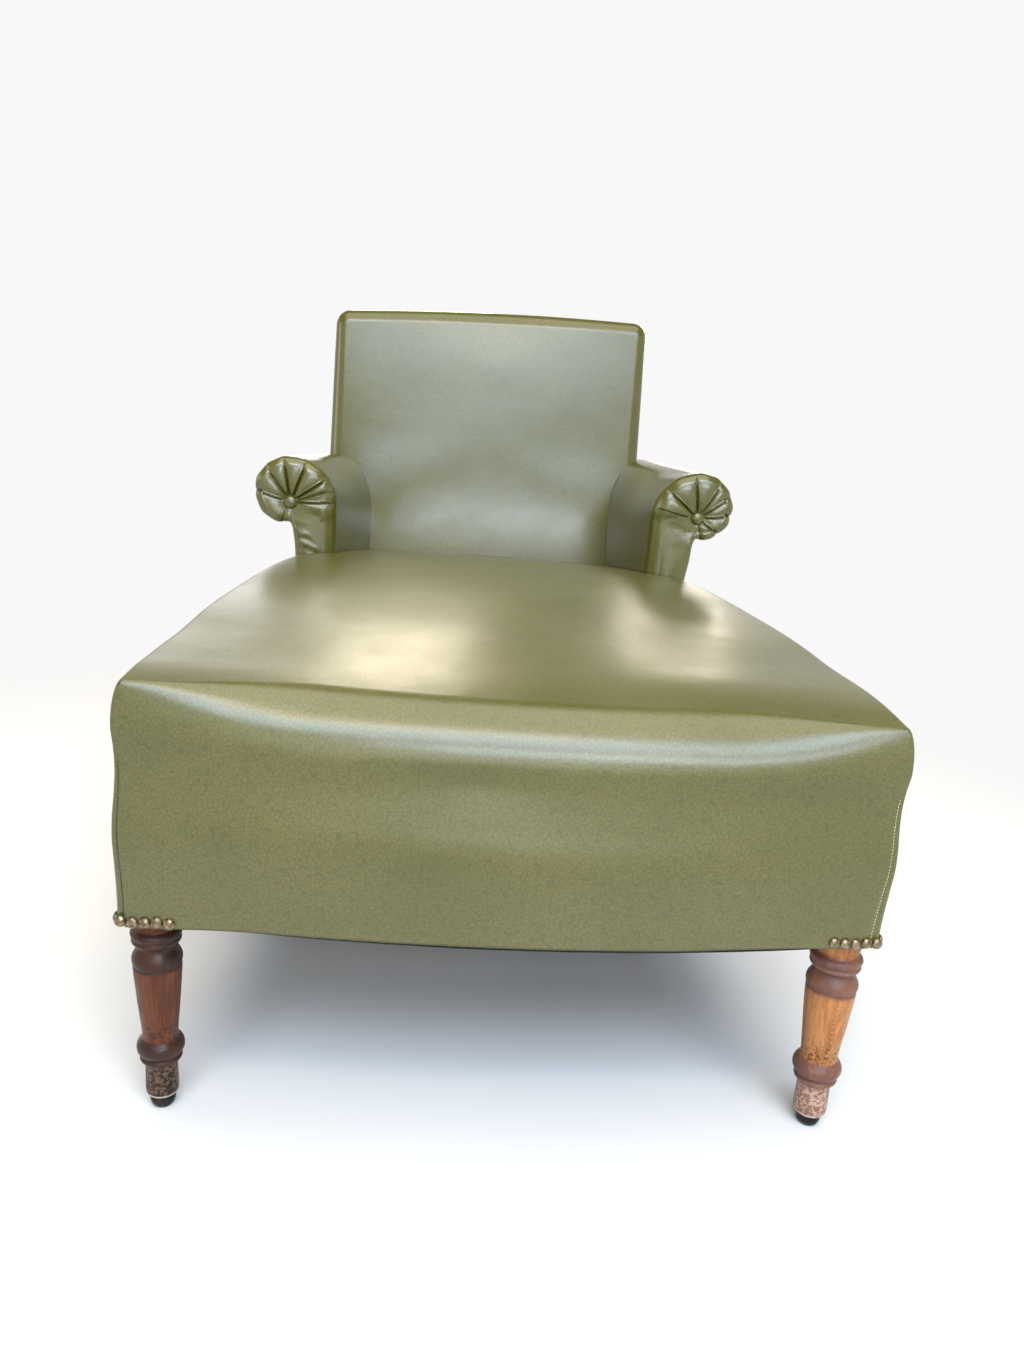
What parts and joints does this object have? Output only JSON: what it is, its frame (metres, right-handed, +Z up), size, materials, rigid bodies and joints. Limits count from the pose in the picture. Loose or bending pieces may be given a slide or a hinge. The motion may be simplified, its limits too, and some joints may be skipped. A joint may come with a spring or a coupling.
{
  "type": "fainting couch",
  "caption": "Short upholstered fainting couch: bow-fronted sprung seat, low raked back, scroll arms with pleated buttoned fronts, turned front legs and square raked rear legs.",
  "frame": {"origin": "on the floor, under the middle of the couch's box", "axes": "+Y runs from the foot end to the back, +X across to the right hand side seen from the foot end, +Z up"},
  "size_m": [0.7714, 1.382, 0.871],
  "materials": {
    "olive_vinyl": "olive green leather-look vinyl, fine pebble grain, semi-gloss, lightly scratched",
    "dark_wood": "dark brown stained hardwood, waxed, worn",
    "warm_wood": "worn orange-brown stained hardwood, waxed",
    "frame_timber": "raw sawn beech",
    "glide_metal": "dark domed glide",
    "web_cloth": "woven jute webbing",
    "spring_steel": "copper-washed spring wire with twine lashing",
    "hessian": "plain woven hessian",
    "stuffing": "fibre and cotton felt stuffing",
    "antique_brass": "antique bronze nail heads",
    "dust_cloth": "black woven bottoming cloth"
  },
  "bodies": {
    "root": {"front_rail": "frame_timber", "rear_rail": "frame_timber", "right_side_rail": "frame_timber", "left_side_rail": "frame_timber", "cross_rail": "frame_timber", "right_front_corner_block": "frame_timber", "left_front_corner_block": "frame_timber", "right_rear_corner_block": "frame_timber", "left_rear_corner_block": "frame_timber", "right_rear_leg_and_post": "warm_wood", "left_rear_leg_and_post": "dark_wood", "back_top_rail": "frame_timber", "back_stay_rail": "frame_timber", "right_front_leg": "warm_wood", "left_front_leg": "dark_wood", "right_front_glide": "glide_metal", "left_front_glide": "glide_metal", "right_rear_glide": "glide_metal", "left_rear_glide": "glide_metal", "seat_webbing": "web_cloth", "spring_row_1": "spring_steel", "spring_row_2": "spring_steel", "spring_row_3": "spring_steel", "spring_row_4": "spring_steel", "seat_hessian": "hessian", "seat_cover": "olive_vinyl", "seat_stuffing": "stuffing", "right_arm_cover": "olive_vinyl", "left_arm_cover": "olive_vinyl", "right_arm_stuffing": "stuffing", "left_arm_stuffing": "stuffing", "right_arm_post": "frame_timber", "left_arm_post": "frame_timber", "right_arm_board": "frame_timber", "left_arm_board": "frame_timber", "right_outside_arm_panel": "olive_vinyl", "left_outside_arm_panel": "olive_vinyl", "right_arm_button": "olive_vinyl", "left_arm_button": "olive_vinyl", "inside_back_cover": "olive_vinyl", "back_stuffing": "stuffing", "back_webbing": "web_cloth", "outside_back_cover": "olive_vinyl", "dust_cover": "dust_cloth", "right_front_nail_row": "antique_brass", "left_front_nail_row": "antique_brass", "right_side_nail_row": "antique_brass", "left_side_nail_row": "antique_brass"}
  },
  "joints": []
}
